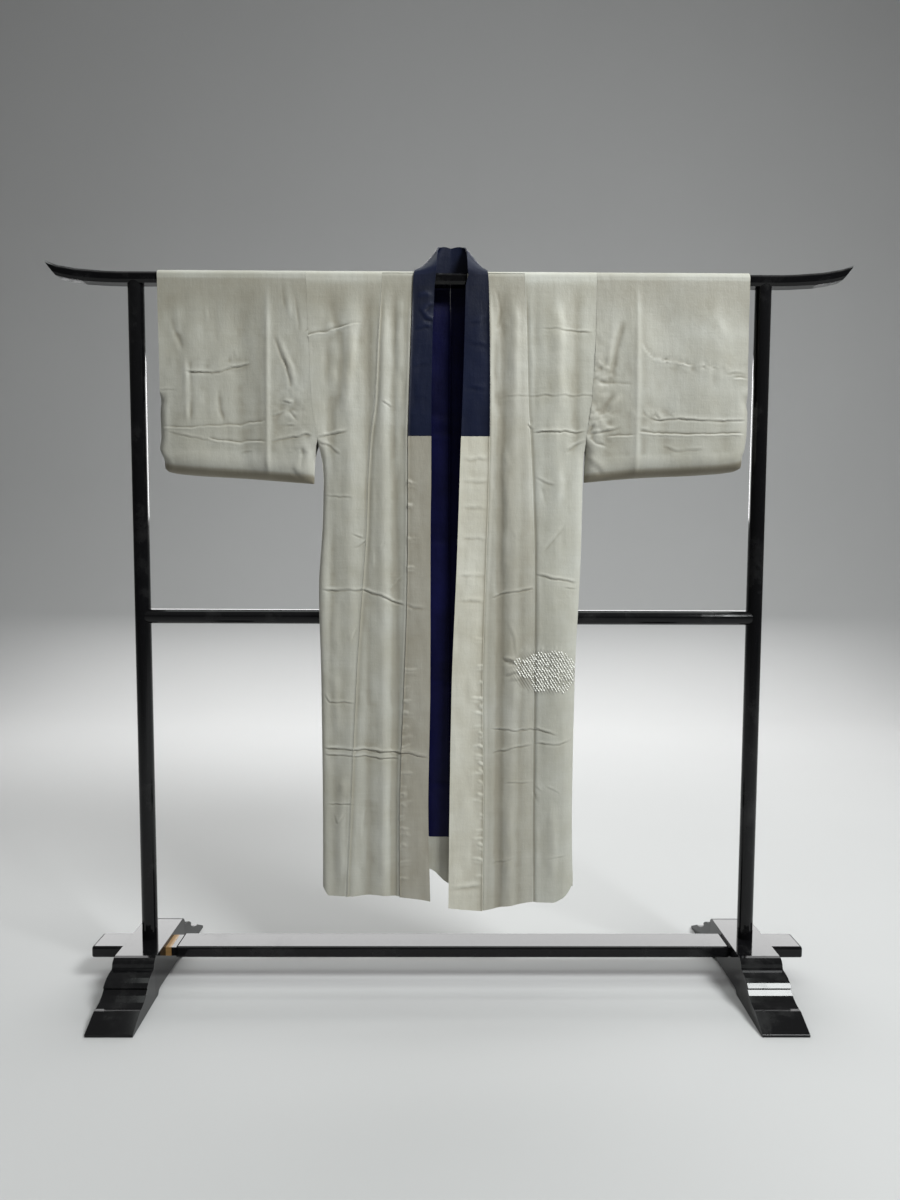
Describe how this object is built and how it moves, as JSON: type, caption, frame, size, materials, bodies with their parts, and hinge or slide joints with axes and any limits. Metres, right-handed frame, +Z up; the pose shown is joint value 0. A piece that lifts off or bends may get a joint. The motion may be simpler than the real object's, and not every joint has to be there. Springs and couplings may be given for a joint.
{
  "type": "silk kimono on a kimono stand",
  "caption": "Plain silk kimono with a dark satin collar, hung open over the top bar of a black lacquered kimono stand with curved feet.",
  "frame": {"origin": "on the floor under the middle of the stand", "axes": "+X along the top bar towards the wearer's left, +Y away from the garment's front, +Z up"},
  "size_m": [1.78, 0.477, 1.6782],
  "materials": {
    "silk": "soft crinkled greige silk",
    "satin": "navy-black satin",
    "lining_silk": "deep navy lining silk",
    "lacquer": "black high-gloss lacquer on wood"
  },
  "bodies": {
    "root": {"body_left": "silk", "body_right": "silk", "gore_left": "silk", "gore_right": "silk", "sleeve_left": "silk", "sleeve_right": "silk", "front_band_left": "silk", "front_band_right": "silk", "hem_facing_left": "silk", "hem_facing_right": "silk", "satin_collar": "satin", "back_lining_left": "lining_silk", "back_lining_right": "lining_silk", "beam": "lacquer", "post_left": "lacquer", "post_right": "lacquer", "mid_rail": "lacquer", "base_bar": "lacquer", "bar_end_left": "lacquer", "bar_end_right": "lacquer", "foot_left": "lacquer", "foot_right": "lacquer"}
  },
  "joints": []
}
